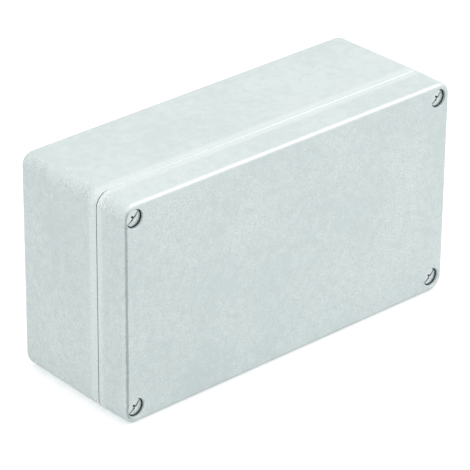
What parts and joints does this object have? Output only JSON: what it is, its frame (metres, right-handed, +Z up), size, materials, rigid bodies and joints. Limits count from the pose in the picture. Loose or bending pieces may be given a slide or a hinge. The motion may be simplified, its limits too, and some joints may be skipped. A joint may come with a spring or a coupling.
{
  "type": "die cast aluminium box",
  "caption": "Rectangular die cast aluminium enclosure with a screwed, sealed lid, seen standing on its long narrow side.",
  "frame": {"origin": "middle of the lower long side that the box stands on, at the lowest point of its parting edge", "axes": "+X along the length, +Y from the lid face to the back face, +Z up"},
  "size_m": [0.22, 0.081, 0.122],
  "materials": {
    "casting": "shot-blasted die casting, fine even grain, satin",
    "screw_steel": "bright stainless steel",
    "seal": "matt black chloroprene",
    "nylon": "natural nylon"
  },
  "bodies": {
    "root": {"base": "casting", "lid": "casting", "lid_gasket": "seal", "lid_screws": "screw_steel", "screw_retainers": "nylon", "earth_screw": "screw_steel", "earth_lock_washer": "screw_steel", "earth_clamp": "screw_steel"}
  },
  "joints": []
}
